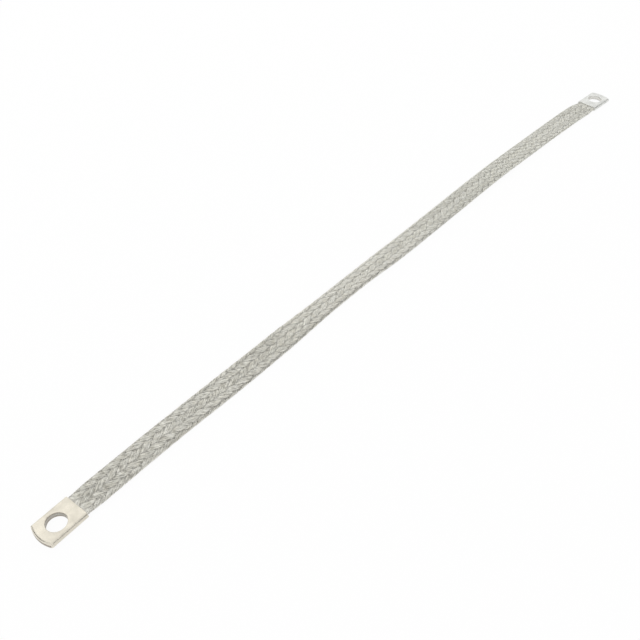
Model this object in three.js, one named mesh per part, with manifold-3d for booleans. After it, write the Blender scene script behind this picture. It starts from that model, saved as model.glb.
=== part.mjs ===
// Flexible busbar braid: a tube of tinned copper wire, plaited and rolled flat, with a
// tinned copper sleeve pressed onto each end and one bolt hole punched through each.
// Millimetres. +X runs from lug_a to lug_b and +Z is up from the surface it lies on.
import * as THREE from 'three';
import { mergeVertices } from 'three/addons/utils/BufferGeometryUtils.js';
import Module from 'manifold-3d';

const wasm = await Module();
wasm.setup();

// The strap, between its two bolts
const HOLE_SPACING = 433;
const BOLT_HOLE_DIAMETER = 8.5;

// The lugs: a round sleeve pressed to a flat oval, its outer end cropped to an arc
const LUG_WIDTH = 13.5;
const LUG_THICKNESS = 2.8;
const LUG_WALL = 0.6;
const HOLE_TO_MOUTH = 9.7;
const HOLE_TO_TIP = 8.6;
const TIP_RADIUS = 14.5;
// Cropping rolls the upper edge of the tip over
const TIP_ROLL_LENGTH = 1.8;
const TIP_ROLL_DROP = 1.2;
// Seen from above, how many degrees each lug has turned about its bolt hole
const LUG_TURN_A = 3;
const LUG_TURN_B = -5;
// How many degrees each lug's tip stands up, with the edge of its mouth on the surface
const LUG_TILT_A = 0;
const LUG_TILT_B = 2.5;

// The braid, measured over its plaits
const BRAID_FIT = 0.1;
const BRAID_THICKNESS = 2.3;
const PLAIT_DEPTH = 0.4;
const PLAIT_REPEAT_A = 6.0;
const PLAIT_REPEAT_B = 6.9;
const OPENING_LENGTH = 9;
const ROOT_LENGTH = 3.5;

// Eight columns of plaits stand side by side round the tube, leaning left and right
// in turn, and each column is three facets wide
const COLUMNS = 8;
const FACETS = 3;

// How the strap lies between the lug mouths: share of the way, then how far it bows
// to the +Y side and how far it lifts off the surface
const ROUTE = [
  [0.044, 1.25, 0.15],
  [0.12, 2.2, 0.06],
  [0.22, 2.6, 0.06],
  [0.34, 3.6, 0.2],
  [0.42, 3.95, 0.45],
  [0.51, 3.8, 0.15],
  [0.61, 4.05, 0.55],
  [0.726, 4.25, 1.2],
  [0.82, 3.8, 0.85],
  [0.92, 3.05, 0.35],
  [0.968, 2.25, 0.2],
];

// Handling has bunched the braid in one place and drawn it thin in the next: share of
// the way, then width
const WIDTHS = [
  [0.03, 12.8],
  [0.12, 12.9],
  [0.2, 13.5],
  [0.27, 13.4],
  [0.37, 11.4],
  [0.41, 11.4],
  [0.5, 12.7],
  [0.7, 13.0],
  [0.85, 13.3],
  [0.96, 13.8],
];

// The tube has rolled a little on itself, which carries the columns round it: share of
// the way, then how many columns round
const ROLL = [
  [0.0, 0.3],
  [0.08, 0.3],
  [0.22, 0.8],
  [0.6, 0.62],
  [0.85, 0.4],
  [1.0, 0.4],
];

// Fineness of the curved faces
const HOLE_SEGMENTS = 48;
const TIP_SEGMENTS = 48;
const SIDE_SEGMENTS = 8;
const ROLL_SEGMENTS = 3;

const PRESSED_INSET = LUG_WALL + BRAID_FIT;
const PRESSED_WIDTH = LUG_WIDTH - 2 * PRESSED_INSET;
const PRESSED_THICKNESS = LUG_THICKNESS - 2 * PRESSED_INSET;
// Tools that cut right through reach past the faces by this much
const OVERRUN = 2;

// The two ends, each with its lug's name and where that lug lies
const ENDS = [
  { name: 'lug_a', seat: seatOf(-HOLE_SPACING / 2, LUG_TURN_A, LUG_TILT_A) },
  { name: 'lug_b', seat: seatOf(HOLE_SPACING / 2, 180 + LUG_TURN_B, LUG_TILT_B) },
];

// A lug is drawn with its bolt hole's axis at x = y = 0, its underside at z = 0 and its
// mouth towards +X. This carries it to its end of the strap, both angles in degrees.
function seatOf(holeX, turn, tilt) {
  const turned = new THREE.Euler(0, THREE.MathUtils.degToRad(tilt), THREE.MathUtils.degToRad(turn), 'ZYX');
  const lift = HOLE_TO_MOUTH * Math.sin(turned.y);
  return new THREE.Matrix4().makeRotationFromEuler(turned).setPosition(holeX, 0, lift);
}

// A closed geometry as a solid that can be joined and cut
function solid(geometry) {
  const bare = geometry.clone();
  bare.deleteAttribute('normal');
  bare.deleteAttribute('uv');
  const merged = mergeVertices(bare);
  const vertProperties = new Float32Array(merged.attributes.position.array);
  const triVerts = new Uint32Array(merged.index.array);
  return new wasm.Manifold(new wasm.Mesh({ numProp: 3, vertProperties, triVerts }));
}

// The solid's faces as a geometry again
function geometryOf(body) {
  const { vertProperties, triVerts } = body.getMesh();
  const geometry = new THREE.BufferGeometry();
  geometry.setAttribute('position', new THREE.BufferAttribute(vertProperties, 3));
  geometry.setIndex(new THREE.BufferAttribute(triVerts, 1));
  geometry.computeVertexNormals();
  return geometry;
}

// The value at a share of the way, eased from each listed row to the next
function along(rows, share) {
  const next = rows.findIndex(([at]) => at > share);
  if (next === 0) return rows[0][1];
  if (next < 0) return rows[rows.length - 1][1];
  const [fromAt, from] = rows[next - 1];
  const [toAt, to] = rows[next];
  return from + (to - from) * THREE.MathUtils.smoothstep(share, fromAt, toAt);
}

// The flat oval of the pressed sleeve, from beyond its tip to the given x. An inset draws
// the same form that much smaller all round, for the bore and for the braid inside it.
function ovalBar(inset, endX) {
  const radius = LUG_THICKNESS / 2 - inset;
  const side = (LUG_WIDTH - LUG_THICKNESS) / 2;
  const middle = LUG_THICKNESS / 2;
  const section = new THREE.Shape();
  section.moveTo(-side, middle - radius);
  section.lineTo(side, middle - radius);
  section.absarc(side, middle, radius, -Math.PI / 2, Math.PI / 2, false);
  section.lineTo(-side, middle + radius);
  section.absarc(-side, middle, radius, Math.PI / 2, 1.5 * Math.PI, false);
  const startX = -HOLE_TO_TIP - OVERRUN;
  const bar = new THREE.ExtrudeGeometry(section, {
    depth: endX - startX,
    bevelEnabled: false,
    curveSegments: SIDE_SEGMENTS,
  });
  const fromSection = new THREE.Matrix4().makeBasis(
    new THREE.Vector3(0, 1, 0),
    new THREE.Vector3(0, 0, 1),
    new THREE.Vector3(1, 0, 0),
  );
  bar.applyMatrix4(fromSection);
  bar.translate(startX, 0, 0);
  return solid(bar);
}

// The cropped tip: an arc in plan, whose upper edge is rolled over
function tipForm(inset) {
  const radius = TIP_RADIUS - inset;
  const centreX = TIP_RADIUS - HOLE_TO_TIP;
  const backX = HOLE_TO_MOUTH + TIP_RADIUS;
  const plan = new THREE.Shape();
  plan.moveTo(backX, radius);
  plan.lineTo(centreX, radius);
  plan.absarc(centreX, 0, radius, Math.PI / 2, 1.5 * Math.PI, false);
  plan.lineTo(backX, -radius);
  const depth = LUG_THICKNESS + OVERRUN;
  const form = new THREE.ExtrudeGeometry(plan, {
    depth,
    bevelSize: TIP_ROLL_LENGTH,
    bevelThickness: TIP_ROLL_DROP,
    bevelOffset: -TIP_ROLL_LENGTH,
    bevelSegments: ROLL_SEGMENTS,
    curveSegments: TIP_SEGMENTS,
  });
  form.translate(0, 0, LUG_THICKNESS - inset - TIP_ROLL_DROP - depth);
  return solid(form);
}

// All that lies under the rolled edge, where the bore and the braid come out at the tip
function underRoll(inset) {
  const length = HOLE_TO_TIP + HOLE_TO_MOUTH + 2 * OVERRUN;
  const top = LUG_THICKNESS - inset - TIP_ROLL_DROP;
  const height = top + OVERRUN;
  const block = new THREE.BoxGeometry(length, LUG_WIDTH, height);
  block.translate((HOLE_TO_MOUTH - HOLE_TO_TIP) / 2, 0, top - height / 2);
  return solid(block);
}

// What fills the sleeve at an inset: the bore at the wall, the braid at the wall and fit
function filling(inset, endX) {
  return ovalBar(inset, endX).intersect(tipForm(inset).add(underRoll(inset)));
}

function boltHole() {
  const height = LUG_THICKNESS + 2 * OVERRUN;
  const radius = BOLT_HOLE_DIAMETER / 2;
  const punch = new THREE.CylinderGeometry(radius, radius, height, HOLE_SEGMENTS);
  punch.rotateX(Math.PI / 2);
  punch.translate(0, 0, LUG_THICKNESS / 2);
  return solid(punch);
}

function lugGeometry() {
  const outside = ovalBar(0, HOLE_TO_MOUTH).intersect(tipForm(0));
  const bore = filling(LUG_WALL, HOLE_TO_MOUTH + OVERRUN);
  return geometryOf(outside.subtract(bore).subtract(boltHole()));
}

// The braid's end, pressed solid inside the lug and flush with its tip
function pressedEnd() {
  const end = filling(PRESSED_INSET, HOLE_TO_MOUTH);
  return end.intersect(tipForm(0)).subtract(boltHole());
}

// A point of a flat oval at a share of its girth, counted from the +Y side over the top
function ovalPoint(width, thickness, share) {
  const radius = thickness / 2;
  const flat = width - thickness;
  const round = Math.PI * radius;
  const turned = share - Math.floor(share);
  let left = (turned * 2 * (flat + round) + round / 2) % (2 * (flat + round));
  const side = left < flat + round ? 1 : -1;
  if (side < 0) left -= flat + round;
  if (left >= round) {
    return { y: side * (flat / 2 - (left - round)), z: side * radius, outY: 0, outZ: side };
  }
  const angle = left / radius - Math.PI / 2;
  const outY = side * Math.cos(angle);
  const outZ = side * Math.sin(angle);
  return { y: side * flat / 2 + radius * outY, z: radius * outZ, outY, outZ };
}

// The braid's middle line, from inside one lug to inside the other
function middleLine() {
  const inLugs = (fromHole) => ENDS.map(({ seat }) => (
    new THREE.Vector3(fromHole, 0, LUG_THICKNESS / 2).applyMatrix4(seat)
  ));
  const [rootA, rootB] = inLugs(HOLE_TO_MOUTH - ROOT_LENGTH);
  const [mouthA, mouthB] = inLugs(HOLE_TO_MOUTH);
  const points = ROUTE.map(([share, bow, lift]) => new THREE.Vector3(
    THREE.MathUtils.lerp(mouthA.x, mouthB.x, share),
    bow,
    BRAID_THICKNESS / 2 + lift,
  ));
  return new THREE.CatmullRomCurve3([rootA, mouthA, ...points, mouthB, rootB]);
}

// The plaited length. Each row of points zigzags round the tube, so that the ridges and
// the valleys between them lean as the strands do
function plaitedGeometry() {
  const line = middleLine();
  line.arcLengthDivisions = 2000;
  const length = line.getLength();
  const free = length - 2 * ROOT_LENGTH;
  const shareAt = (s) => THREE.MathUtils.clamp((s - ROOT_LENGTH) / free, 0, 1);
  const repeatAt = (s) => THREE.MathUtils.lerp(PLAIT_REPEAT_A, PLAIT_REPEAT_B, shareAt(s));

  const rows = [0];
  while (rows.at(-1) < length) rows.push(rows.at(-1) + repeatAt(rows.at(-1)) / 2);
  const stretch = length / rows.at(-1);

  const around = COLUMNS * FACETS;
  const positions = [];
  const place = (s, row, i) => {
    const point = line.getPointAt(THREE.MathUtils.clamp(s / length, 0, 1));
    const ahead = line.getTangentAt(THREE.MathUtils.clamp(s / length, 0, 1));
    const across = new THREE.Vector3(-ahead.y, ahead.x, 0).normalize();
    const up = new THREE.Vector3().crossVectors(ahead, across);
    const toLug = Math.min(s, length - s) - ROOT_LENGTH;
    const open = THREE.MathUtils.smoothstep(toLug, 0, OPENING_LENGTH);
    const ridge = open * PLAIT_DEPTH / 2;
    const lerp = THREE.MathUtils.lerp;
    const width = lerp(PRESSED_WIDTH - BRAID_FIT, along(WIDTHS, shareAt(s)), open);
    const thickness = lerp(PRESSED_THICKNESS - BRAID_FIT, BRAID_THICKNESS, open);
    const share = (i / FACETS + along(ROLL, shareAt(s))) / COLUMNS;
    const at = ovalPoint(width - 2 * ridge, thickness - 2 * ridge, share);
    const column = Math.floor(i / FACETS);
    const high = i % FACETS !== 0 && (row + column) % 2 === 0;
    const out = high ? ridge : -ridge;
    point.addScaledVector(across, at.y + out * at.outY);
    point.addScaledVector(up, at.z + out * at.outZ);
    positions.push(point.x, point.y, point.z);
  };
  rows.forEach((s, row) => {
    const here = s * stretch;
    const toEnd = Math.min(here, length - here);
    const lean = THREE.MathUtils.smoothstep(toEnd, 0, 2 * repeatAt(here));
    for (let i = 0; i < around; i += 1) {
      const zigzag = 0.5 - Math.abs((i / FACETS) % 2 - 1);
      place(here + lean * zigzag * repeatAt(here), row, i);
    }
  });

  const index = [];
  for (let row = 0; row + 1 < rows.length; row += 1) {
    for (let i = 0; i < around; i += 1) {
      const a = row * around + i;
      const b = row * around + (i + 1) % around;
      index.push(a, b, a + around, b, b + around, a + around);
    }
  }
  for (const row of [0, rows.length - 1]) {
    const centre = line.getPointAt(row === 0 ? 0 : 1);
    positions.push(centre.x, centre.y, centre.z);
    const hub = positions.length / 3 - 1;
    for (let i = 0; i < around; i += 1) {
      const a = row * around + i;
      const b = row * around + (i + 1) % around;
      index.push(...(row === 0 ? [hub, b, a] : [hub, a, b]));
    }
  }
  const geometry = new THREE.BufferGeometry();
  geometry.setAttribute('position', new THREE.Float32BufferAttribute(positions, 3));
  geometry.setIndex(index);
  return geometry;
}

function braidGeometry() {
  const pressed = geometryOf(pressedEnd());
  const whole = ENDS.reduce(
    (body, { seat }) => body.add(solid(pressed.clone().applyMatrix4(seat))),
    solid(plaitedGeometry()),
  );
  return geometryOf(whole);
}

function tinned(colour, roughness, metalness) {
  return new THREE.MeshStandardMaterial({ color: colour, roughness, metalness, flatShading: true });
}

const strap = new THREE.Group();
strap.name = 'flexible_busbar_braid';

const braid = new THREE.Mesh(braidGeometry(), tinned(0xb9b4ab, 0.5, 0.9));
braid.name = 'braid';
strap.add(braid);

const lugShape = lugGeometry();
for (const { name, seat } of ENDS) {
  const lug = new THREE.Mesh(lugShape, tinned(0xe2dccd, 0.32, 0.9));
  lug.name = name;
  lug.applyMatrix4(seat);
  strap.add(lug);
}

// The origin is under the middle of the whole strap, on the surface that it lies on
const extent = new THREE.Box3().setFromObject(strap, true);
const middle = extent.getCenter(new THREE.Vector3());
strap.position.set(-middle.x, -middle.y, -extent.min.z);

export default strap;
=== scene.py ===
"""Flexible busbar braid: the looks of the strap, laid out as a Blender add-on.

Metres, +Z up, the strap lying along X. A flat tube of tinned copper wires is plaited from
two sets of strands, and a sleeve of tinned copper is pressed onto each end.
"""

import math

import bmesh
import bpy
import numpy as np
from mathutils import Euler, Matrix, Vector


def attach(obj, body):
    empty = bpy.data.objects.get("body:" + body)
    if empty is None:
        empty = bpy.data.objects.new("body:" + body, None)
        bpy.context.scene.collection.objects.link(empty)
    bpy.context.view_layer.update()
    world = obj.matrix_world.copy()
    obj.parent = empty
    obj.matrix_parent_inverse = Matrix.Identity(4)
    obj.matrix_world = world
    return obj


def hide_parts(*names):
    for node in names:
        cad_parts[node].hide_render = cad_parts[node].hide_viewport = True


bl_info = {
    "name": "Flexible busbar braid",
    "version": (1, 0, 0),
    "blender": (4, 5, 0),
    "location": "3D View > Sidebar > Strap",
    "description": "Makes a plaited copper strap with a pressed lug on each end",
    "category": "Add Mesh",
}

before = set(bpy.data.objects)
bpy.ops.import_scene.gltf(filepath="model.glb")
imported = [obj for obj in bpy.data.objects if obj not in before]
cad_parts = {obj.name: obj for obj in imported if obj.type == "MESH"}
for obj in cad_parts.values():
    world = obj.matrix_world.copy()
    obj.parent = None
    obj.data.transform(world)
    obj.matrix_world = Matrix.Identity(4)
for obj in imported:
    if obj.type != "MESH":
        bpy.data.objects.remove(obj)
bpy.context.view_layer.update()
MM = 0.001

# Where the middle of the strap's box lies from the middle between its two bolt holes
BOX_MIDDLE = Vector((-0.0033, 1.6644, 0.0)) * MM

# The camera's place and its turn from +X and down, in radians, as the photograph has it
CAMERA_PLACE = (-0.2750, -0.18407, 0.2627)
CAMERA_YAW = 0.7167
CAMERA_PITCH = 0.7587

# The floor, in metres, with its own glow and the share of it that is seen
WHITE = (1, 1, 1, 1)
FLOOR_REACH = 3.0
FLOOR_PAPER = (0.9, 0.9, 0.9, 1)
FLOOR_GLOW = 1.02
FLOOR_GLOW_SHARE = 0.92

# Dark cards beside the table, which draw a line along the lugs' round sides: each one's
# first and last turn in degrees, and its lower and upper edge in metres
CARD_REACH = 2.2
CARD_STEPS = 12
CARD_GLOW = 0.08
CARDS = (
    ("right_card", -80, -28, 0.8, 2.6),
    ("left_card", 125, 165, 0.35, 1.3),
)

# The lamps: place, aim, size, watts and colour
LAMPS = (
    ("key", (-0.35, 0.55, 0.75), (0, 0, 0), 1.0, 0.6, (1.0, 0.985, 0.96)),
    ("fill", (0.45, 0.4, 0.6), (0.12, 0, 0), 0.4, 0.3, (1.0, 1.0, 1.0)),
)

# The bolt holes and the lugs, turned and tilted in degrees. The near lug's cut faces are
# bare copper, and the far lug's are tin, painted lighter than its plate as light on its hole wall.
HOLE_SPACING = 433 * MM
BOLT_HOLE_RADIUS = 4.25 * MM
LUG_WIDTH = 13.5 * MM
LUG_THICKNESS = 2.8 * MM
LUG_WALL = 0.6 * MM
HOLE_TO_MOUTH = 9.7 * MM
HOLE_TO_TIP = 8.6 * MM
TIP_RADIUS = 14.5 * MM
TIP_ROLL_LENGTH = 1.8 * MM
TIP_ROLL_DROP = 1.2 * MM
BORE_OVERRUN = 2 * MM
BOTTOM_RIM = 0.12 * MM
FAR_CUT_LIT_COLOUR = (0.80, 0.80, 0.77)
SHARP_ANGLE = 32
ROLL_STATIONS = (0.16, 0.26, 0.38, 0.52, 0.68, 0.84, 1.0)
LUG_TURNS = {"lug_a": 3.0, "lug_b": 175.0}
LUG_TILTS = {"lug_a": 0.0, "lug_b": 2.5}

# The braid, with the length of one plait repeat at its near end and at its far end. Its
# core is drawn in under the strands, painted darker as shade under them, and is one even,
# paler colour at the far end, painted light in the gaps and on the far hole wall.
BRAID_THICKNESS = 2.3 * MM
PRESSED_WIDTH = 12.0 * MM
PRESSED_THICKNESS = 1.3 * MM
PLAIT_REPEATS = (6.0 * MM, 6.9 * MM)
OPENING_LENGTH = 9 * MM
ROOT_LENGTH = 3.5 * MM
COLUMNS = 8
STRANDS_IN_PIECE = 4
CORE_HALF_THICKNESS = 0.5 * MM
CORE_SIDE_MARGIN = 0.65 * MM
CORE_SHADED_COLOUR = (0.60, 0.58, 0.53)
CORE_SHADE = (0.38, 0.37, 0.33)
CORE_FAR_LIT_COLOUR = (0.82, 0.81, 0.77)
WIRE_STEPS = 380

# Share of the way between the lug mouths, then bow to the +Y side and lift off the
# surface, both in millimetres
ROUTE = (
    (0.044, 1.25, 0.15),
    (0.12, 2.2, 0.06),
    (0.22, 2.6, 0.06),
    (0.34, 3.6, 0.2),
    (0.42, 3.95, 0.45),
    (0.51, 3.8, 0.15),
    (0.61, 4.05, 0.55),
    (0.726, 4.25, 1.2),
    (0.82, 3.8, 0.85),
    (0.92, 3.05, 0.35),
    (0.968, 2.25, 0.2),
)
# Share of the way, then the braid's width in millimetres
WIDTHS = (
    (0.03, 12.8),
    (0.12, 12.9),
    (0.2, 13.5),
    (0.27, 13.4),
    (0.37, 11.4),
    (0.41, 11.4),
    (0.5, 12.7),
    (0.7, 13.0),
    (0.85, 13.3),
    (0.96, 13.8),
)
# Share of the way, then how many columns the tube has rolled on itself
ROLL = (
    (0.0, 0.3),
    (0.08, 0.3),
    (0.22, 0.8),
    (0.6, 0.62),
    (0.85, 0.4),
    (1.0, 0.4),
)

# How a wire wanders: how often from end to end, how far apart two wires and two strands
# lie in the noise, how much of it lifts the wire, and how far out of place it starts
WANDERS = 70.0
WIRE_APART = 40.0
STRAND_APART = 9.0
WANDER_LIFT = 1.5
WIRE_STRAY = 0.02

# How much wider a strand lies where it goes over, how flat its float is, how aslant its
# ends and the seams between columns are, and how much relief is left in the lugs' mouths
OVER_SPREAD = 0.12
FLOAT_FLATNESS = 0.14
END_SLANT = 0.5
SEAM_SLANT = 0.25
PRESSED_RELIEF = 0.25

# What is written on the strap's line, and how far from its ends the braid opens
SECTION = ("width", "thickness", "plait", "roll", "open")
SECTION_STOPS = 60
OPENING_STOPS = np.array([3.5, 5, 6.5, 8, 9.5, 11, 12.5]) * MM

# How near to a face or a line counts as on it, and how near two points count as one
TOUCH = 0.02 * MM
WELD = 0.0005 * MM
CORE_WELD = 1e-7


# The strap's line


def smoothstep(x, low, high):
    t = np.clip((x - low) / (high - low), 0.0, 1.0)
    return t * t * (3 - 2 * t)


def eased(rows, share):
    """The value at each share of the way, eased from one listed row to the next."""
    share = np.asarray(share, dtype=float)
    value = np.full(share.shape, float(rows[0][1]))
    for (from_at, start), (to_at, end) in zip(rows, rows[1:]):
        step = start + (end - start) * smoothstep(share, from_at, to_at)
        value = np.where(share >= from_at, step, value)
    return value


def lug_seat(name):
    """Carries a lug from where it is drawn, with its mouth towards +X, to its end."""
    side = -1 if name == "lug_a" else 1
    turned = Euler((0, math.radians(LUG_TILTS[name]), math.radians(LUG_TURNS[name])), "XYZ")
    place = Vector((side * HOLE_SPACING / 2, 0, HOLE_TO_MOUTH * math.sin(turned.y)))
    return Matrix.Translation(place - BOX_MIDDLE) @ turned.to_matrix().to_4x4()


def through_points(points, steps):
    """A smooth line through the points, with this many steps between each two."""
    points = [np.array(p, dtype=float) for p in points]
    ends = [2 * points[0] - points[1], *points, 2 * points[-1] - points[-2]]
    line = []
    for p0, p1, p2, p3 in zip(ends, ends[1:], ends[2:], ends[3:]):
        gaps = ((p0, p1), (p1, p2), (p2, p3))
        d0, d1, d2 = (math.sqrt(np.linalg.norm(b - a)) for a, b in gaps)
        t1 = d1 * ((p1 - p0) / d0 - (p2 - p0) / (d0 + d1) + (p2 - p1) / d1)
        t2 = d1 * ((p2 - p1) / d1 - (p3 - p1) / (d1 + d2) + (p3 - p2) / d2)
        for t in np.arange(steps) / steps:
            line.append(
                p1 + t1 * t + (3 * p2 - 3 * p1 - 2 * t1 - t2) * t**2
                + (2 * p1 - 2 * p2 + t1 + t2) * t**3
            )
    line.append(points[-1])
    return np.array(line)


class StrapLine:
    """The braid's middle line, from inside one lug to inside the other, and its section
    at every point of it."""

    def __init__(self, spacing=0.5 * MM):
        lugs = [lug_seat("lug_a"), lug_seat("lug_b")]
        middle = LUG_THICKNESS / 2
        roots = [m @ Vector((HOLE_TO_MOUTH - ROOT_LENGTH, 0, middle)) for m in lugs]
        mouths = [m @ Vector((HOLE_TO_MOUTH, 0, middle)) for m in lugs]
        route = [
            (
                mouths[0].x + (mouths[1].x - mouths[0].x) * share,
                bow * MM - BOX_MIDDLE.y,
                BRAID_THICKNESS / 2 + lift * MM,
            )
            for share, bow, lift in ROUTE
        ]
        fine = through_points([roots[0], mouths[0], *route, mouths[1], roots[1]], 60)
        run = np.concatenate([[0], np.cumsum(np.linalg.norm(np.diff(fine, axis=0), axis=1))])
        count = int(run[-1] / spacing) + 1
        self.length = float(run[-1])
        self.along = np.linspace(0, self.length, count)
        self.points = np.stack([np.interp(self.along, run, fine[:, k]) for k in range(3)], 1)
        self.share = np.clip((self.along - ROOT_LENGTH) / (self.length - 2 * ROOT_LENGTH), 0, 1)
        from_mouth = np.minimum(self.along, self.length - self.along) - ROOT_LENGTH
        self.open = smoothstep(from_mouth, 0, OPENING_LENGTH)
        wide = eased(WIDTHS, self.share) * MM
        self.width = PRESSED_WIDTH + (wide - PRESSED_WIDTH) * self.open
        self.thickness = PRESSED_THICKNESS + (BRAID_THICKNESS - PRESSED_THICKNESS) * self.open
        self.roll = eased(ROLL, self.share)
        repeat = PLAIT_REPEATS[0] + (PLAIT_REPEATS[1] - PLAIT_REPEATS[0]) * self.share
        per_metre = 1 / repeat
        steps = (per_metre[1:] + per_metre[:-1]) / 2 * np.diff(self.along)
        self.plait = np.concatenate([[0], np.cumsum(steps)])

    @property
    def mouth_a(self):
        return [float(np.interp(ROOT_LENGTH, self.along, self.points[:, k])) for k in range(3)]


# Node trees


class Field:
    """A number or a vector inside a node tree, written as a sum is written."""

    def __init__(self, tree, value):
        self.tree, self.value = tree, value

    def _node(self, kind, operation, *values):
        node = self.tree.nodes.new(kind)
        node.operation = operation
        for socket, value in zip(node.inputs, values):
            value = value.value if isinstance(value, Field) else value
            if isinstance(value, bpy.types.NodeSocket):
                self.tree.links.new(value, socket)
            else:
                socket.default_value = value
        return node

    def math(self, operation, *others):
        return Field(self.tree, self._node("ShaderNodeMath", operation, self, *others).outputs[0])

    def vector(self, operation, *others):
        node = self._node("ShaderNodeVectorMath", operation, self, *others)
        return Field(self.tree, node.outputs[0])

    def scaled(self, factor):
        node = self._node("ShaderNodeVectorMath", "SCALE", self)
        factor = factor.value if isinstance(factor, Field) else factor
        self.tree.links.new(factor, node.inputs["Scale"])
        return Field(self.tree, node.outputs[0])

    def __add__(self, other):
        return self.math("ADD", other)

    def __sub__(self, other):
        return self.math("SUBTRACT", other)

    def __mul__(self, other):
        return self.math("MULTIPLY", other)

    def __truediv__(self, other):
        return self.math("DIVIDE", other)


def new_socket(tree, name, kind, in_out="INPUT", default=None):
    socket = tree.interface.new_socket(name=name, in_out=in_out, socket_type=kind)
    if default is not None:
        socket.default_value = default
    return socket


def add(tree, kind, links=(), **settings):
    """A node with its settings, and the sockets that feed it."""
    node = tree.nodes.new(kind)
    for name, value in settings.items():
        setattr(node, name, value)
    for socket, value in dict(links).items():
        value = value.value if isinstance(value, Field) else value
        if isinstance(value, bpy.types.NodeSocket):
            tree.links.new(value, node.inputs[socket])
        else:
            node.inputs[socket].default_value = value
    return node


def store(tree, geometry, name, value):
    """The geometry with a number written on each of its points."""
    return add(
        tree, "GeometryNodeStoreNamedAttribute",
        {"Geometry": geometry, "Name": name, "Value": value},
        data_type="FLOAT", domain="POINT",
    ).outputs[0]


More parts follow.
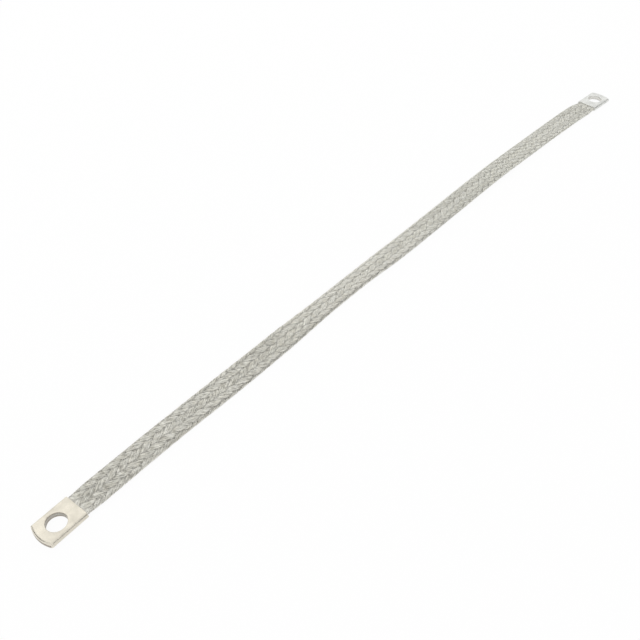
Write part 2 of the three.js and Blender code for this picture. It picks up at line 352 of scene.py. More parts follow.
def plaited_wires_tree():
    """One set of strands: each wire is one line, laid round the flat tube as it goes along
    it, over two strands of the other set and under the next two."""
    tree = bpy.data.node_groups.new("plaited_wires", "GeometryNodeTree")
    tree.is_modifier = True
    for name, kind, default in (
        ("Geometry", "Geometry", None),
        ("First Strand", "Int", 0),
        ("Strands", "Int", STRANDS_IN_PIECE),
        ("Wires", "Int", 12),
        ("Steps", "Int", WIRE_STEPS),
        ("Lay", "Float", 1.0),
        ("Start Column", "Float", 0.5),
        ("Wire Radius", "Float", 0.115 * MM),
        ("Rise", "Float", 0.09 * MM),
        ("Crown", "Float", 0.05 * MM),
        ("Strand Fill", "Float", 1.0),
        ("Looseness", "Float", 0.06),
        ("Seed", "Int", 1),
        ("Material", "Material", None),
    ):
        new_socket(tree, name, f"NodeSocket{kind}", default=default)
    new_socket(tree, "Geometry", "NodeSocketGeometry", in_out="OUTPUT")
    given = tree.nodes.new("NodeGroupInput").outputs

    def field(name):
        return Field(tree, given[name])

    def chance(low, high, seed):
        links = {2: low, 3: high, "ID": index, "Seed": seed}
        node = add(tree, "FunctionNodeRandomValue", links, data_type="FLOAT")
        return Field(tree, node.outputs[1])

    starts = add(tree, "GeometryNodeMeshLine", {"Count": field("Strands") * field("Wires")})
    index = Field(tree, tree.nodes.new("GeometryNodeInputIndex").outputs[0])
    strand = (index / field("Wires")).math("FLOOR")
    place = index - strand * field("Wires")
    points = starts.outputs[0]
    for name, value in (
        ("strand", strand + field("First Strand")),
        ("wire_place", (place + 0.5) / field("Wires") - 0.5),
        ("wire_jitter", chance(-1.0, 1.0, given["Seed"])),
        ("wire_tint", chance(0.0, 1.0, field("Seed") + 7.0)),
    ):
        points = store(tree, points, name, value)

    straight = add(tree, "GeometryNodeCurvePrimitiveLine", {"End": (1.0, 0.0, 0.0)})
    stepped = add(
        tree, "GeometryNodeResampleCurve", {"Curve": straight.outputs[0], "Count": given["Steps"]}
    )
    copies = add(
        tree, "GeometryNodeInstanceOnPoints", {"Points": points, "Instance": stepped.outputs[0]}
    )
    wires = add(tree, "GeometryNodeRealizeInstances", {"Geometry": copies.outputs[0]}).outputs[0]

    def named(name):
        links = {"Name": name}
        node = add(tree, "GeometryNodeInputNamedAttribute", links, data_type="FLOAT")
        return Field(tree, node.outputs[0])

    share = Field(tree, tree.nodes.new("GeometryNodeSplineParameter").outputs[0])
    on_line = [
        add(
            tree, "GeometryNodeSampleCurve",
            {"Curves": given["Geometry"], "Value": named(name), "Factor": share},
            data_type="FLOAT", mode="FACTOR", use_all_curves=True,
        ).outputs
        for name in SECTION
    ]
    width, thickness, plait, roll, opened = (Field(tree, at["Value"]) for at in on_line)
    centre = Field(tree, on_line[0]["Position"])
    ahead = Field(tree, on_line[0]["Tangent"])
    upright = Field(tree, (0.0, 0.0, 1.0))
    across = upright.vector("CROSS_PRODUCT", ahead).vector("NORMALIZE")
    up = ahead.vector("CROSS_PRODUCT", across)

    # How far round the tube this wire is, in columns
    where = share * WANDERS + named("wire_jitter") * WIRE_APART + named("strand") * STRAND_APART
    noise = add(
        tree, "ShaderNodeTexNoise", {"W": where, "Scale": 1.0, "Detail": 1.0},
        noise_dimensions="1D",
    )
    wander = (Field(tree, noise.outputs[0]) - 0.5) * field("Looseness") * 2.0
    strand_way = named("strand") + field("Start Column") + field("Lay") * plait
    over = (strand_way * math.pi).math("SINE") * field("Lay")
    spread = (over * OVER_SPREAD + (1 - OVER_SPREAD)) * field("Strand Fill")
    beside = named("wire_place") * spread
    columns = strand_way + beside + wander + named("wire_jitter") * WIRE_STRAY

    # Its height: over two strands of the other set and under the next two. Each wire dives
    # at the edge of the strand that it meets, so a float ends aslant.
    phase = (columns - beside * END_SLANT) * math.pi
    height = (phase.math("SINE") + (phase * 3.0).math("SINE") * FLOAT_FLATNESS) * field("Lay")
    # How near a wire is to the seam between columns, which the painted shade along the seams
    # follows
    from_seam = ((columns - beside * SEAM_SLANT) * math.pi).math("SINE").math("ABSOLUTE")
    to_edge = (named("wire_place") * named("wire_place")) * 4.0
    crown = (Field(tree, 1.0) - to_edge) * field("Crown")
    full = opened * (1 - PRESSED_RELIEF) + PRESSED_RELIEF
    out = height * field("Rise") * full + crown * full + wander * field("Rise") * WANDER_LIFT

    # The flat oval that the strands lie on
    margin = (field("Rise") + field("Crown")) * full + field("Wire Radius")
    wide = width - margin * 2.0
    radius = (thickness - margin * 2.0) / 2.0
    flat = wide - radius * 2.0
    bend = radius * math.pi
    half = flat + bend
    girth = half * 2.0
    way = ((columns + roll) / float(COLUMNS)).math("FRACT") * girth + bend / 2.0
    way = way.math("FLOORED_MODULO", girth)
    far_side = way.math("GREATER_THAN", half)
    side = Field(tree, 1.0) - far_side * 2.0
    left = way - far_side * half
    angle = left.math("MINIMUM", bend) / radius - math.pi / 2
    out_y = angle.math("COSINE") * side
    out_z = angle.math("SINE") * side
    run = (left - bend).math("MAXIMUM", 0.0)
    y = side * (flat / 2.0 - run) + (radius + out) * out_y
    z = (radius + out) * out_z

    # Both are stored while the wires are still straight, where their length gives the share
    wires = store(tree, wires, "wire_height", height)
    wires = store(tree, wires, "from_seam", from_seam)
    position = centre.vector("ADD", across.scaled(y)).vector("ADD", up.scaled(z))
    section = add(
        tree, "GeometryNodeCurvePrimitiveCircle", {"Resolution": 4, "Radius": given["Wire Radius"]}
    ).outputs[0]
    done = wires
    for kind, source, links in (
        ("GeometryNodeSetPosition", "Geometry", {"Position": position}),
        ("GeometryNodeCurveToMesh", "Curve", {"Profile Curve": section, "Fill Caps": True}),
        ("GeometryNodeSetShadeSmooth", "Geometry", {"Shade Smooth": True}),
        ("GeometryNodeRealizeInstances", "Geometry", {}),
        ("GeometryNodeSetMaterial", "Geometry", {"Material": given["Material"]}),
    ):
        done = add(tree, kind, {source: done, **links}).outputs[0]
    add(tree, "NodeGroupOutput", {"Geometry": done})
    return tree


def set_input(modifier, name, value):
    """Sets a modifier's named input by its socket's identifier."""
    for item in modifier.node_group.interface.items_tree:
        if item.item_type == "SOCKET" and item.in_out == "INPUT" and item.name == name:
            modifier[item.identifier] = value
            return
    raise RuntimeError(f"{modifier.name} has no input {name}")


def placed(name, data):
    """A new object in the scene, at the origin."""
    made = bpy.data.objects.new(name, data)
    bpy.context.scene.collection.objects.link(made)
    return made


def as_plain_mesh(worker, name):
    """The evaluated object as a plain mesh object, with nothing live left on it."""
    bpy.context.view_layer.update()
    depsgraph = bpy.context.evaluated_depsgraph_get()
    mesh = bpy.data.meshes.new_from_object(worker.evaluated_get(depsgraph))
    mesh.name = name
    bpy.data.objects.remove(worker)
    return placed(name, mesh)


# Finishes


def tin_bloom_group():
    """The faint mottling of tin plate: cloudy patches and fine grain."""
    group = bpy.data.node_groups.new("tin_bloom", "ShaderNodeTree")
    new_socket(group, "Vector", "NodeSocketVector")
    new_socket(group, "Patch Scale", "NodeSocketFloat", default=300.0)
    new_socket(group, "Grain Scale", "NodeSocketFloat", default=4000.0)
    new_socket(group, "Tone", "NodeSocketFloat", in_out="OUTPUT")
    new_socket(group, "Grain", "NodeSocketFloat", in_out="OUTPUT")
    given = group.nodes.new("NodeGroupInput").outputs
    sums = {}
    for name, detail, roughness in (("Patch", 3.0, 0.55), ("Grain", 2.0, 0.6)):
        links = {"Vector": given["Vector"], "Scale": given[f"{name} Scale"]}
        links.update({"Detail": detail, "Roughness": roughness})
        sums[name] = add(group, "ShaderNodeTexNoise", links).outputs[0]
    add(group, "NodeGroupOutput", {"Tone": sums["Patch"], "Grain": sums["Grain"]})
    return group


def tin_bloom(tree, place, patches, grain):
    """The mottling in a material, with so many patches and grains to the metre."""
    node = add(
        tree, "ShaderNodeGroup", {"Vector": place, "Patch Scale": patches, "Grain Scale": grain},
        node_tree=bpy.data.node_groups["tin_bloom"],
    )
    return node.outputs["Tone"], node.outputs["Grain"]


def toned(colour, factor):
    return tuple(min(part * factor, 1.0) for part in colour)


def ramp(tree, factor, low, high, start=0.3, end=0.7):
    """A colour that goes from low to high as the factor does."""
    node = tree.nodes.new("ShaderNodeValToRGB")
    for stop, position, colour in zip(node.color_ramp.elements, (start, end), (low, high)):
        stop.position = position
        stop.color = (*colour, 1)
    tree.links.new(factor, node.inputs[0])
    return node.outputs[0]


def between(tree, factor, low, high, start=0.0, end=1.0):
    """A number that goes from low to high as the factor goes from start to end."""
    node = add(tree, "ShaderNodeMapRange", {0: factor, 1: start, 2: end, 3: low, 4: high})
    return node.outputs[0]


def worked(tree, operation, first, second):
    """Two numbers worked into one."""
    return add(tree, "ShaderNodeMath", {0: first, 1: second}, operation=operation).outputs[0]


def mixed(tree, share, first, second, blend="MIX"):
    """The second colour over the first, or multiplied into it."""
    links = {0: share, 6: first, 7: second}
    node = add(tree, "ShaderNodeMix", links, data_type="RGBA", blend_type=blend)
    return node.outputs[2]


def written(tree, name):
    """A number that the wires carry."""
    return add(tree, "ShaderNodeAttribute", attribute_name=name).outputs["Fac"]


def along(tree, place):
    """How far along the strap a place is, from its middle."""
    return add(tree, "ShaderNodeSeparateXYZ", {0: place}).outputs[0]


def from_rays(tree, *kinds):
    """One for a ray of any of these kinds, else zero."""
    path = tree.nodes.new("ShaderNodeLightPath")
    seen = path.outputs[kinds[0]]
    for kind in kinds[1:]:
        seen = worked(tree, "MAXIMUM", seen, path.outputs[kind])
    return seen


def cleared_tree(owner):
    """The node tree of a new material or world, with nothing in it yet."""
    owner.use_nodes = True
    owner.node_tree.nodes.clear()
    return owner.node_tree


def metal(name):
    """A new material, its tree, its shader and the place on the object."""
    material = bpy.data.materials.new(name)
    tree = cleared_tree(material)
    shader = tree.nodes.new("ShaderNodeBsdfPrincipled")
    add(tree, "ShaderNodeOutputMaterial", {0: shader.outputs[0]})
    return material, tree, shader, tree.nodes.new("ShaderNodeTexCoord").outputs["Object"]


def finish(tree, shader, colour, metallic, roughness, relief, strength, depth):
    """Feeds a metal's shader."""
    bump = add(tree, "ShaderNodeBump", {"Height": relief, "Strength": strength, "Distance": depth})
    tree.links.new(colour, shader.inputs["Base Color"])
    shader.inputs["Metallic"].default_value = metallic
    tree.links.new(roughness, shader.inputs["Roughness"])
    tree.links.new(bump.outputs[0], shader.inputs["Normal"])


def satin_tin(name, colour):
    """Tin plate on a pressed lug: pale, satin, a little cloudy."""
    material, tree, shader, place = metal(name)
    tone, grain = tin_bloom(tree, place, patches=260.0, grain=5200.0)
    plate = ramp(tree, tone, toned(colour, 0.9), toned(colour, 1.08), 0.34, 0.64)
    roughness = between(tree, tone, 0.36, 0.25, 0.3, 0.7)
    finish(tree, shader, plate, 0.88, roughness, grain, strength=0.12, depth=0.02 * MM)
    return material


def tinned_wire(name, colour, dark):
    """The wires of the braid: each its own shade, with painted glints streaked along its way,
    and painted shade where strands cross and along the seams between columns."""
    material, tree, shader, place = metal(name)
    tone, grain = tin_bloom(tree, place, patches=420.0, grain=6000.0)
    x = along(tree, place)

    # Painted glints: light and dark streaks that follow each wire, standing in for wires catching
    # the light, with so many of them across a strand and to the metre
    across_strand, to_the_metre = 5.0, 420.0
    which = worked(tree, "ADD", written(tree, "strand"), written(tree, "wire_place"))
    way = add(tree, "ShaderNodeCombineXYZ", {
        0: worked(tree, "MULTIPLY", which, across_strand),
        1: worked(tree, "MULTIPLY", x, to_the_metre),
    })
    painted_glint_streaks, _ = tin_bloom(tree, way.outputs[0], patches=1.0, grain=9.0)

    # Painted shade where a wire dives and beside a seam, less of it towards the far end
    painted_dive_shade = between(tree, written(tree, "wire_height"), 1.0, 0.0, -1.4, -0.5)
    painted_seam_shade = between(tree, written(tree, "from_seam"), 1.0, 0.0, 0.06, 0.46)
    shaded = worked(tree, "MAXIMUM", painted_dive_shade, painted_seam_shade)
    shaded = worked(tree, "MULTIPLY", shaded, between(tree, x, 1.0, 0.72, -0.1, 0.15))
    tint = ramp(tree, written(tree, "wire_tint"), toned(colour, 0.84), colour, 0.1, 0.7)
    look = mixed(tree, shaded, tint, (*dark, 1))

    # How much of each tone is laid over it, its darkest colour, and where it starts and ends
    # How much of the painted glints is laid on, less towards the far end
    streaky = between(tree, x, 1.0, 0.2, -0.14, 0.1)
    to_far = between(tree, x, 1.0, 0.0, -0.08, 0.08)
    for much, factor, low, start, end in (
        (1.0, tone, (0.92, 0.91, 0.89), 0.36, 0.6),
        (streaky, painted_glint_streaks, (0.52, 0.515, 0.50), 0.33, 0.55),
        (1.0, to_far, (0.965, 0.972, 0.975), 0.0, 1.0),
    ):
        laid = ramp(tree, factor, low, (1, 1, 1), start, end)
        look = mixed(tree, much, look, laid, blend="MULTIPLY")
    roughness = between(tree, tone, 0.5, 0.34, 0.3, 0.7)
    finish(tree, shader, look, 0.85, roughness, grain, strength=0.15, depth=0.01 * MM)
    return material


def cut_copper(name, colour):
    """Bare copper where a tool has sheared it: dull, brownish, with fine upright scores."""
    material, tree, shader, place = metal(name)
    stretched = add(tree, "ShaderNodeMapping", {0: place, 3: (1.0, 1.0, 0.12)}).outputs[0]
    tone, grain = tin_bloom(tree, stretched, patches=900.0, grain=7000.0)
    shade = ramp(tree, tone, toned(colour, 0.78), colour)
    roughness = between(tree, tone, 0.5, 0.38)
    finish(tree, shader, shade, 0.85, roughness, grain, strength=0.2, depth=0.02 * MM)
    return material


def packed_wire(name, colour, dark, far):
    """The wires under the top layer, and their cut ends in the lugs: dull and streaky, painted
    darker than the strands as shade under them, and of one even, paler colour towards the far
    end, painted light in the gaps between strands and on the far hole wall."""
    material, tree, shader, place = metal(name)
    tone, _ = tin_bloom(tree, place, patches=700.0, grain=5000.0)
    cells = add(tree, "ShaderNodeTexVoronoi", {"Vector": place, "Scale": 4600.0}, feature="F1")
    ends = cells.outputs[0]
    # Painted shade: the core's colours are darker than the strands that lie over it
    streaky = ramp(tree, worked(tree, "MULTIPLY", ends, tone), colour, dark, 0.1, 0.45)
    # Painted light: one even, paler colour towards the far end
    to_far = between(tree, along(tree, place), 0.0, 1.0, -0.1, 0.1)
    look = mixed(tree, to_far, streaky, (*far, 1))
    roughness = between(tree, tone, 0.6, 0.45)
    finish(tree, shader, look, 0.8, roughness, ends, strength=0.4, depth=0.04 * MM)
    return material


# The lugs


def quarter(steps):
    """The turns of a quarter circle, from nothing to a right angle."""
    return [math.pi / 2 * k / steps for k in range(steps + 1)]


def oval_ring(inset, sides=14, flats=16):
    """The upper half of the pressed sleeve's section, from its -Y side to its +Y side, as
    (y, height over the middle, outward y, outward z)."""
    radius = LUG_THICKNESS / 2 - inset
    straight = (LUG_WIDTH - LUG_THICKNESS) / 2
    left = [(-math.cos(t), math.sin(t)) for t in quarter(sides)]
    ring = [(radius * y - straight, radius * z, y, z) for y, z in left]
    ring += [(straight * (2 * k / flats - 1), radius, 0.0, 1.0) for k in range(1, flats)]
    ring += [(straight - radius * y, radius * z, -y, z) for y, z in reversed(left)]
    return ring


def tip_x(y):
    """How far the cropped tip reaches at a place across the lug."""
    return TIP_RADIUS - HOLE_TO_TIP - math.sqrt(TIP_RADIUS * TIP_RADIUS - y * y)


def rolled_top(from_tip, inset):
    """The height of the upper face near the tip, where cropping has rolled it over."""
    flat = min(max((from_tip - inset) / TIP_ROLL_LENGTH, 0.0), 1.0)
    drop = TIP_ROLL_DROP * (1 - math.sqrt(1 - (1 - flat) ** 2))
    return LUG_THICKNESS - inset - drop


def sleeve_solid(name, inset=0.0, overrun=0.0, edge=0.0):
    """The pressed sleeve as a closed form, rounded by edge where it ends. An inset draws
    it that much smaller, and overrun longer, as the tool that cuts its bore."""
    turns = quarter(4)
    tip = [(edge * (1 - math.cos(t)), edge * (1 - math.sin(t))) for t in turns]
    mouth = [(-edge * (1 - math.sin(t)), edge * (1 - math.cos(t))) for t in turns]
    if not edge:
        tip, mouth = [(-overrun, 0.0), (0.0, 0.0)], [(overrun, 0.0)]
    tip += [(inset + TIP_ROLL_LENGTH * t, 0.0) for t in ROLL_STATIONS]
    stations = [(from_tip, 0.0, 0.0, shrink) for from_tip, shrink in tip]
    stations += [(tip[-1][0], share, 0.0, 0.0) for share in (0.25, 0.5, 0.75)]
    stations += [(tip[-1][0], 1.0, beyond, shrink) for beyond, shrink in mouth]

    middle = LUG_THICKNESS / 2
    radius = middle - inset
    straight = (LUG_WIDTH - LUG_THICKNESS) / 2
    bm = bmesh.new()
    loops = []
    for from_tip, share, beyond, shrink in stations:
        top = rolled_top(from_tip, inset) if share == 0 else LUG_THICKNESS - inset
        reach = straight + math.sqrt(max(radius**2 - max(middle - top, 0.0) ** 2, 0.0))
        upper, lower = [], []
        for y, z, out_y, out_z in oval_ring(inset):
            y = min(max(y, -reach), reach)
            start = tip_x(y) + from_tip
            x = start + (HOLE_TO_MOUTH - start) * share + beyond
            inner_y = y - out_y * shrink
            high = min(middle + z - out_z * shrink, top - shrink)
            upper.append(bm.verts.new((x, inner_y, high)))
            low = min(middle - z + out_z * shrink, top - shrink)
            lower.append(bm.verts.new((x, inner_y, low)))
        loops.append((upper, lower))
    for (upper, lower), (next_upper, next_lower) in zip(loops, loops[1:]):
        for row, ahead in ((upper, next_upper), (lower, next_lower)):
            for k in range(len(row) - 1):
                bm.faces.new((row[k], row[k + 1], ahead[k + 1], ahead[k]))
    for upper, lower in (loops[0], loops[-1]):
        for k in range(len(upper) - 1):
            bm.faces.new((upper[k], upper[k + 1], lower[k + 1], lower[k]))
    bmesh.ops.remove_doubles(bm, verts=bm.verts, dist=WELD)
    bmesh.ops.recalc_face_normals(bm, faces=bm.faces)
    return worker_from(bm, name)


def worker_from(bm, name):
    """A passing object with the form just drawn."""
    mesh = bpy.data.meshes.new(name)
    bm.to_mesh(mesh)
    bm.free()
    return placed(name, mesh)


def punch_solid(top_edge, bottom_edge, segments=96):
    """The bolt hole as a tool whose ends flare, so that it leaves rounded rims."""
    radius, high, beyond = BOLT_HOLE_RADIUS, LUG_THICKNESS, 1 * MM
    profile = [(radius + bottom_edge, -beyond)]
    profile += [
        (radius + bottom_edge * (1 - math.sin(t)), bottom_edge * (1 - math.cos(t)))
        for t in quarter(5)
    ]
    profile += [
        (radius + top_edge * (1 - math.cos(t)), high - top_edge * (1 - math.sin(t)))
        for t in quarter(5)
    ]
    profile.append((radius + top_edge, high + beyond))
    turns = [2 * math.pi * k / segments for k in range(segments)]
    bm = bmesh.new()
    rings = [
        [bm.verts.new((r * math.cos(t), r * math.sin(t), z)) for t in turns] for r, z in profile
    ]
    for low_ring, high_ring in zip(rings, rings[1:]):
        for k in range(segments):
            j = (k + 1) % segments
            bm.faces.new((low_ring[k], low_ring[j], high_ring[j], high_ring[k]))
    bm.faces.new(rings[0][::-1])
    bm.faces.new(rings[-1])
    bmesh.ops.recalc_face_normals(bm, faces=bm.faces)
    return worker_from(bm, "punch")


def cut_away(body, tool):
    cut = body.modifiers.new("cut", "BOOLEAN")
    cut.operation = "DIFFERENCE"
    cut.solver = "EXACT"
    cut.object = tool


def lug_mesh(edge, top_edge, bottom_edge):
    """The whole lug as drawn: the sleeve, its bore and its bolt hole."""
    body = sleeve_solid("sleeve", edge=edge)
    tools = (
        sleeve_solid("bore", inset=LUG_WALL, overrun=BORE_OVERRUN),
        punch_solid(top_edge, bottom_edge),
    )
    for tool in tools:
        cut_away(body, tool)
    lug = as_plain_mesh(body, "lug_form")
    for tool in tools:
        bpy.data.objects.remove(tool)
    lug.data.shade_smooth()
    lug.data.set_sharp_from_angle(angle=math.radians(SHARP_ANGLE))
    return lug


# The core of the braid


def core_mesh(line, half_thickness, side_margin):
    """The braid's inner wires: the CAD solid, drawn in under the strands that cover it."""
    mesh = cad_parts["braid"].data.copy()
    bm = bmesh.new()
    bm.from_mesh(mesh)
    bmesh.ops.remove_doubles(bm, verts=bm.verts, dist=CORE_WELD)
    here = np.array([v.co for v in bm.verts])
    tangents = np.gradient(line.points, axis=0)
    tangents /= np.linalg.norm(tangents, axis=1)[:, None]
    across = np.stack([-tangents[:, 1], tangents[:, 0], 0 * tangents[:, 0]], 1)
    across /= np.linalg.norm(across, axis=1)[:, None]
    up = np.cross(tangents, across)
    for vertex, p in zip(bm.verts, here):
        k = int(np.argmin(np.linalg.norm(line.points - p, axis=1)))
        from_mouth = min(line.along[k], line.length - line.along[k]) - ROOT_LENGTH
        if from_mouth < TOUCH:
            continue
        offset = p - line.points[k]
        y, z = float(offset @ across[k]), float(offset @ up[k])
        half_y, half_z = line.width[k] / 2, line.thickness[k] / 2
        y *= (half_y - side_margin) / half_y
        z *= min(half_thickness / half_z, 1.0)
        x = float(offset @ tangents[k])
        vertex.co = line.points[k] + tangents[k] * x + across[k] * y + up[k] * z
    bm.to_mesh(mesh)
    bm.free()
    return mesh


# Sizes and colours


class BraidSettings(bpy.types.PropertyGroup):
    """Sizes and colours of the plaited strands."""

    wires_per_strand: bpy.props.IntProperty(
        name="Wires in a strand", description="Wires that lie side by side in each strand",
        default=12, min=3, max=40,
    )
    wire_radius: bpy.props.FloatProperty(
        name="Wire radius", description="Half the thickness of one wire",
        default=0.115 * MM, min=0.02 * MM, max=1 * MM, unit="LENGTH", precision=6,
    )
    rise: bpy.props.FloatProperty(
        name="Rise", description="How far a strand rises over and dips under the others",
        default=0.09 * MM, min=0, max=1 * MM, unit="LENGTH", precision=6,
    )
    crown: bpy.props.FloatProperty(
        name="Crown", description="How much the middle of a strand stands above its edges",
        default=0.05 * MM, min=0, max=1 * MM, unit="LENGTH", precision=6,
    )
    fill: bpy.props.FloatProperty(
        name="Fill", description="How much of its room each strand takes up",
        default=1.0, min=0.2, max=1.2,
    )
    looseness: bpy.props.FloatProperty(
        name="Looseness", description="How far the wires wander out of line",
        default=0.06, min=0, max=0.5,
    )
    colour: bpy.props.FloatVectorProperty(
        name="Wire colour", description="Colour of the tinned wires",
        subtype="COLOR", default=(1.0, 0.99, 0.92), min=0, max=1,
    )
    # Painted shade: laid on the wires where a strand dives under and along the seams between
    # columns
    shade: bpy.props.FloatVectorProperty(
        name="Shade between strands", description="Colour of the wires where a strand dives under",
        subtype="COLOR", default=(0.50, 0.49, 0.45), min=0, max=1,
    )


class LugSettings(bpy.types.PropertyGroup):
    """Edges and colours of the pressed lugs."""

    edge: bpy.props.FloatProperty(
        name="Edge", description="Rounding of the sleeve's cut ends",
        default=0.12 * MM, min=0.01 * MM, max=0.5 * MM, unit="LENGTH", precision=6,
    )
    rim: bpy.props.FloatProperty(
        name="Hole rim", description="Rounding that the punch leaves on the upper rim",
        default=0.28 * MM, min=0.01 * MM, max=0.5 * MM, unit="LENGTH", precision=6,
    )
    near_colour: bpy.props.FloatVectorProperty(
        name="Near lug", description="Colour of the near lug's tin plate",
        subtype="COLOR", default=(0.755, 0.712, 0.61), min=0, max=1,
    )
    far_colour: bpy.props.FloatVectorProperty(
        name="Far lug", description="Colour of the far lug's tin plate",
        subtype="COLOR", default=(0.745, 0.75, 0.72), min=0, max=1,
    )
    bare_colour: bpy.props.FloatVectorProperty(
        name="Cut copper", description="Colour of the sheared tip and the wall of the bolt hole",
        subtype="COLOR", default=(0.50, 0.44, 0.37), min=0, max=1,
    )


class StageSettings(bpy.types.PropertyGroup):
    """The camera and the light."""

    lens: bpy.props.FloatProperty(
        name="Lens", description="The camera's focal length in millimetres",
        default=44.6, min=10, max=300,
    )
    light: bpy.props.FloatProperty(
        name="Surrounding light", description="Strength of the white tent of light",
        default=0.8, min=0, max=3,
    )


# Operators


class STRAP_OT_stage(bpy.types.Operator):
    """Set up the camera, the pale floor and the soft light"""

    bl_idname = "strap.stage"
    bl_label = "Stage"

    def execute(self, context):
        settings = context.scene.strap_stage
        context.scene.camera = self.camera(settings.lens)
        context.scene.view_settings.view_transform = "Standard"
        context.scene.world = self.tent(settings.light)
        self.floor()
        for row in CARDS:
            self.card(*row)
        for row in LAMPS:
            self.lamp(*row)
        return {"FINISHED"}

    @staticmethod
    def camera(lens):
        camera = bpy.data.cameras.new("camera")
        camera.lens = lens
        camera.sensor_width = 36
        camera.clip_start = 0.01
        ahead = Vector((
            math.cos(CAMERA_YAW) * math.cos(CAMERA_PITCH),
            math.sin(CAMERA_YAW) * math.cos(CAMERA_PITCH),
            -math.sin(CAMERA_PITCH),
        ))
        viewer = placed("camera", camera)
        viewer.location = CAMERA_PLACE
        viewer.rotation_euler = ahead.to_track_quat("-Z", "Y").to_euler()
        return viewer

    @staticmethod
    def tent(light):
        """A white world, at full white wherever it is looked at or mirrored."""
        world = bpy.data.worlds.new("tent")
        tree = cleared_tree(world)
        seen = from_rays(tree, "Is Camera Ray", "Is Glossy Ray", "Is Transmission Ray")
        glow = {"Color": WHITE, "Strength": between(tree, seen, light, 1.0)}
        background = add(tree, "ShaderNodeBackground", glow)
        add(tree, "ShaderNodeOutputWorld", {"Surface": background.outputs[0]})
        return world

    @staticmethod
    def floor():
        """Paper that takes the strap's shadow, and looks white."""
        reach = FLOOR_REACH
        floor = bpy.data.meshes.new("floor")
        floor.from_pydata(
            [(-reach, -reach, 0), (reach, -reach, 0), (reach, reach, 0), (-reach, reach, 0)],
            [], [(0, 1, 2, 3)],
        )
        ground = placed("floor", floor)
        material = bpy.data.materials.new("white_floor")
        tree = cleared_tree(material)
        paper = add(tree, "ShaderNodeBsdfDiffuse", {"Color": FLOOR_PAPER})
        white = add(tree, "ShaderNodeEmission", {"Color": WHITE, "Strength": FLOOR_GLOW})
        seen = from_rays(tree, "Is Camera Ray", "Is Glossy Ray")
        both = {0: worked(tree, "MULTIPLY", seen, FLOOR_GLOW_SHARE)}
        both.update({1: paper.outputs[0], 2: white.outputs[0]})
        surface = add(tree, "ShaderNodeMixShader", both)
        add(tree, "ShaderNodeOutputMaterial", {"Surface": surface.outputs[0]})
        floor.materials.append(material)

    @staticmethod
    def card(name, first, last, low, high):
        """A curved card, dark in reflections and white to the camera."""
        row = CARD_STEPS + 1
        turns = [math.radians(first + (last - first) * k / CARD_STEPS) for k in range(row)]
        card = bpy.data.meshes.new(name)
        card.from_pydata(
            [
                (CARD_REACH * math.cos(t), CARD_REACH * math.sin(t), z)
                for z in (low, high) for t in turns
            ],
            [], [(k, k + 1, row + k + 1, row + k) for k in range(CARD_STEPS)],
        )
        holder = placed(name, card)
        material = bpy.data.materials.new(name)
        tree = cleared_tree(material)
        strength = between(tree, from_rays(tree, "Is Camera Ray"), CARD_GLOW, 1.0)
        face = add(tree, "ShaderNodeEmission", {"Color": WHITE, "Strength": strength})
        add(tree, "ShaderNodeOutputMaterial", {"Surface": face.outputs[0]})
        card.materials.append(material)

    @staticmethod
    def lamp(name, place, aim, size, watts, colour):
        lamp = bpy.data.lights.new(name, "AREA")
        lamp.energy = watts
        lamp.size = size
        lamp.color = colour
        holder = placed(name, lamp)
        holder.location = place
        towards = Vector(aim) - Vector(place)
        holder.rotation_euler = towards.to_track_quat("-Z", "Y").to_euler()


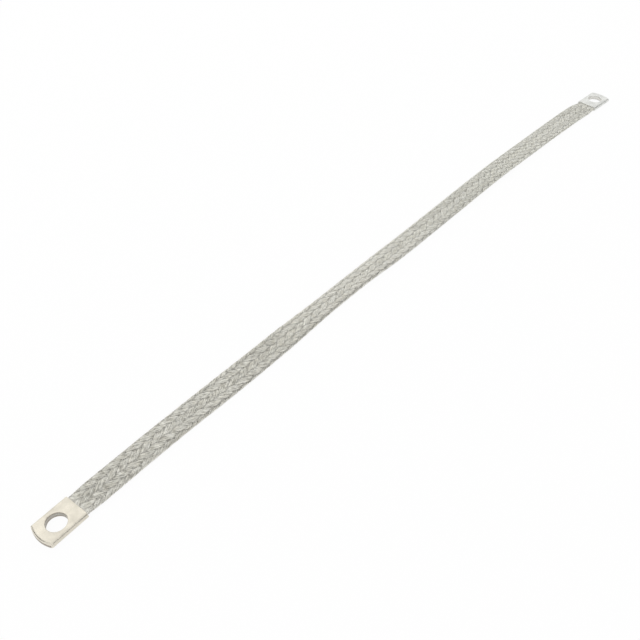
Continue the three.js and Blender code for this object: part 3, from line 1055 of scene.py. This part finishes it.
class STRAP_OT_braid(bpy.types.Operator):
    """Lay the braid: its core of packed wires and the two sets of strands over it"""

    bl_idname = "strap.braid"
    bl_label = "Braid"

    def execute(self, context):
        settings = context.scene.strap_braid
        line = StrapLine()
        wire = tinned_wire("tinned_wire", tuple(settings.colour), tuple(settings.shade))
        packed = packed_wire("packed_wire", CORE_SHADED_COLOUR, CORE_SHADE, CORE_FAR_LIT_COLOUR)

        tree = plaited_wires_tree()
        strands = []
        for lay, start, seed, side in ((1.0, 0.5, 11, "right"), (-1.0, 0.0, 23, "left")):
            for part in (0, 1):
                worker = placed("strap_line", self.line_curve(line))
                worker.modifiers.new("section", "NODES").node_group = self.section_tree(line)
                made = worker.modifiers.new("wires", "NODES")
                made.node_group = tree
                first = part * STRANDS_IN_PIECE
                for name, value in (
                    ("First Strand", first), ("Strands", STRANDS_IN_PIECE),
                    ("Wires", settings.wires_per_strand), ("Steps", WIRE_STEPS),
                    ("Lay", lay), ("Start Column", start),
                    ("Wire Radius", settings.wire_radius), ("Rise", settings.rise),
                    ("Crown", settings.crown), ("Strand Fill", settings.fill),
                    ("Looseness", settings.looseness), ("Seed", seed + first),
                    ("Material", wire),
                ):
                    set_input(made, name, value)
                strands.append(as_plain_mesh(worker, f"strands_{side}_{part + 1}"))
        if min(len(s.data.polygons) for s in strands) < 1000:
            raise RuntimeError("the strands came out empty")

        core = placed("braid_core", core_mesh(line, CORE_HALF_THICKNESS, CORE_SIDE_MARGIN))
        core.data.materials.clear()
        core.data.materials.append(packed)
        for piece in (core, *strands):
            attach(piece, "root")
        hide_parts("braid")
        return {"FINISHED"}

    @staticmethod
    def line_curve(line):
        path = bpy.data.curves.new("strap_line", "CURVE")
        path.dimensions = "3D"
        spline = path.splines.new("POLY")
        spline.points.add(len(line.points) - 1)
        rows = np.c_[line.points, np.ones(len(line.points))]
        spline.points.foreach_set("co", rows.ravel())
        return path

    @staticmethod
    def section_tree(line):
        """Writes the braid's section at each point of the strap's line."""
        tree = bpy.data.node_groups.new("strap_section", "GeometryNodeTree")
        tree.is_modifier = True
        new_socket(tree, "Geometry", "NodeSocketGeometry")
        new_socket(tree, "Geometry", "NodeSocketGeometry", in_out="OUTPUT")
        geometry = tree.nodes.new("NodeGroupInput").outputs[0]
        share = tree.nodes.new("GeometryNodeSplineParameter").outputs[0]
        at = line.along / line.length
        opening = OPENING_STOPS / line.length
        stops = np.unique(np.concatenate([np.linspace(0, 1, SECTION_STOPS), opening, 1 - opening]))
        for name in SECTION:
            values = getattr(line, name)
            low, high = float(values.min()), float(values.max())
            curve = add(tree, "ShaderNodeFloatCurve", {"Value": share})
            knots = curve.mapping.curves[0].points
            heights = (np.interp(stops, at, values) - low) / (high - low)
            while len(knots) < len(stops):
                knots.new(0.5, 0.5)
            for knot, x, y in zip(knots, stops, heights):
                knot.location = (x, y)
                knot.handle_type = "VECTOR" if name in ("open", "plait") else "AUTO_CLAMPED"
            curve.mapping.update()
            scaled = between(tree, curve.outputs[0], low, high)
            geometry = store(tree, geometry, name, scaled)
        add(tree, "NodeGroupOutput", {"Geometry": geometry})
        return tree


class STRAP_OT_lugs(bpy.types.Operator):
    """Press the two lugs, with their cropped tips and punched bolt holes"""

    bl_idname = "strap.lugs"
    bl_label = "Lugs"

    def execute(self, context):
        settings = context.scene.strap_lugs
        form = lug_mesh(settings.edge, settings.rim, BOTTOM_RIM)
        bare = cut_copper("cut_copper", tuple(settings.bare_colour))
        for face in form.data.polygons:
            x, y, _ = face.center
            in_hole = abs(math.hypot(x, y) - BOLT_HOLE_RADIUS) < TOUCH
            on_tip = x < tip_x(y) + TOUCH
            upright = abs(face.normal.z) < 0.5
            face.material_index = 1 if upright and (in_hole or on_tip) else 0
        if len(form.data.polygons) < 500:
            raise RuntimeError("the lug came out empty")
        # Painted light: the far lug's cut faces are tin, lighter than its plate, so its hole wall
        # looks lit
        lit_hole_tin = satin_tin("satin_tin_hole", FAR_CUT_LIT_COLOUR)
        for name, colour, cut in (
            ("lug_a", settings.near_colour, bare), ("lug_b", settings.far_colour, lit_hole_tin),
        ):
            mesh = form.data.copy()
            mesh.transform(lug_seat(name))
            piece = placed(f"pressed_{name}", mesh)
            mesh.materials.append(satin_tin(f"satin_tin_{name}", tuple(colour)))
            mesh.materials.append(cut)
            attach(piece, "root")
            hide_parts(name)
        bpy.data.objects.remove(form)
        return {"FINISHED"}


class STRAP_PT_panel(bpy.types.Panel):
    """The strap's pieces and their sizes"""

    bl_idname = "STRAP_PT_panel"
    bl_label = "Busbar braid"
    bl_space_type = "VIEW_3D"
    bl_region_type = "UI"
    bl_category = "Strap"

    def draw(self, context):
        layout = self.layout
        scene = context.scene
        for operator, settings in (
            (STRAP_OT_stage, scene.strap_stage),
            (STRAP_OT_braid, scene.strap_braid),
            (STRAP_OT_lugs, scene.strap_lugs),
        ):
            box = layout.box()
            box.operator(operator.bl_idname)
            for name in settings.__annotations__:
                box.prop(settings, name)


SETTINGS = (
    ("strap_stage", StageSettings),
    ("strap_braid", BraidSettings),
    ("strap_lugs", LugSettings),
)
CLASSES = (STRAP_OT_stage, STRAP_OT_braid, STRAP_OT_lugs, STRAP_PT_panel)


def register():
    for name, group in SETTINGS:
        bpy.utils.register_class(group)
        setattr(bpy.types.Scene, name, bpy.props.PointerProperty(type=group))
    for each in CLASSES:
        bpy.utils.register_class(each)


def unregister():
    for each in reversed(CLASSES):
        bpy.utils.unregister_class(each)
    for name, group in reversed(SETTINGS):
        delattr(bpy.types.Scene, name)
        bpy.utils.unregister_class(group)


def main():
    register()
    tin_bloom_group()
    bpy.ops.strap.stage()
    bpy.ops.strap.braid()
    bpy.ops.strap.lugs()
    bpy.context.view_layer.update()


if __name__ == "__main__":
    main()
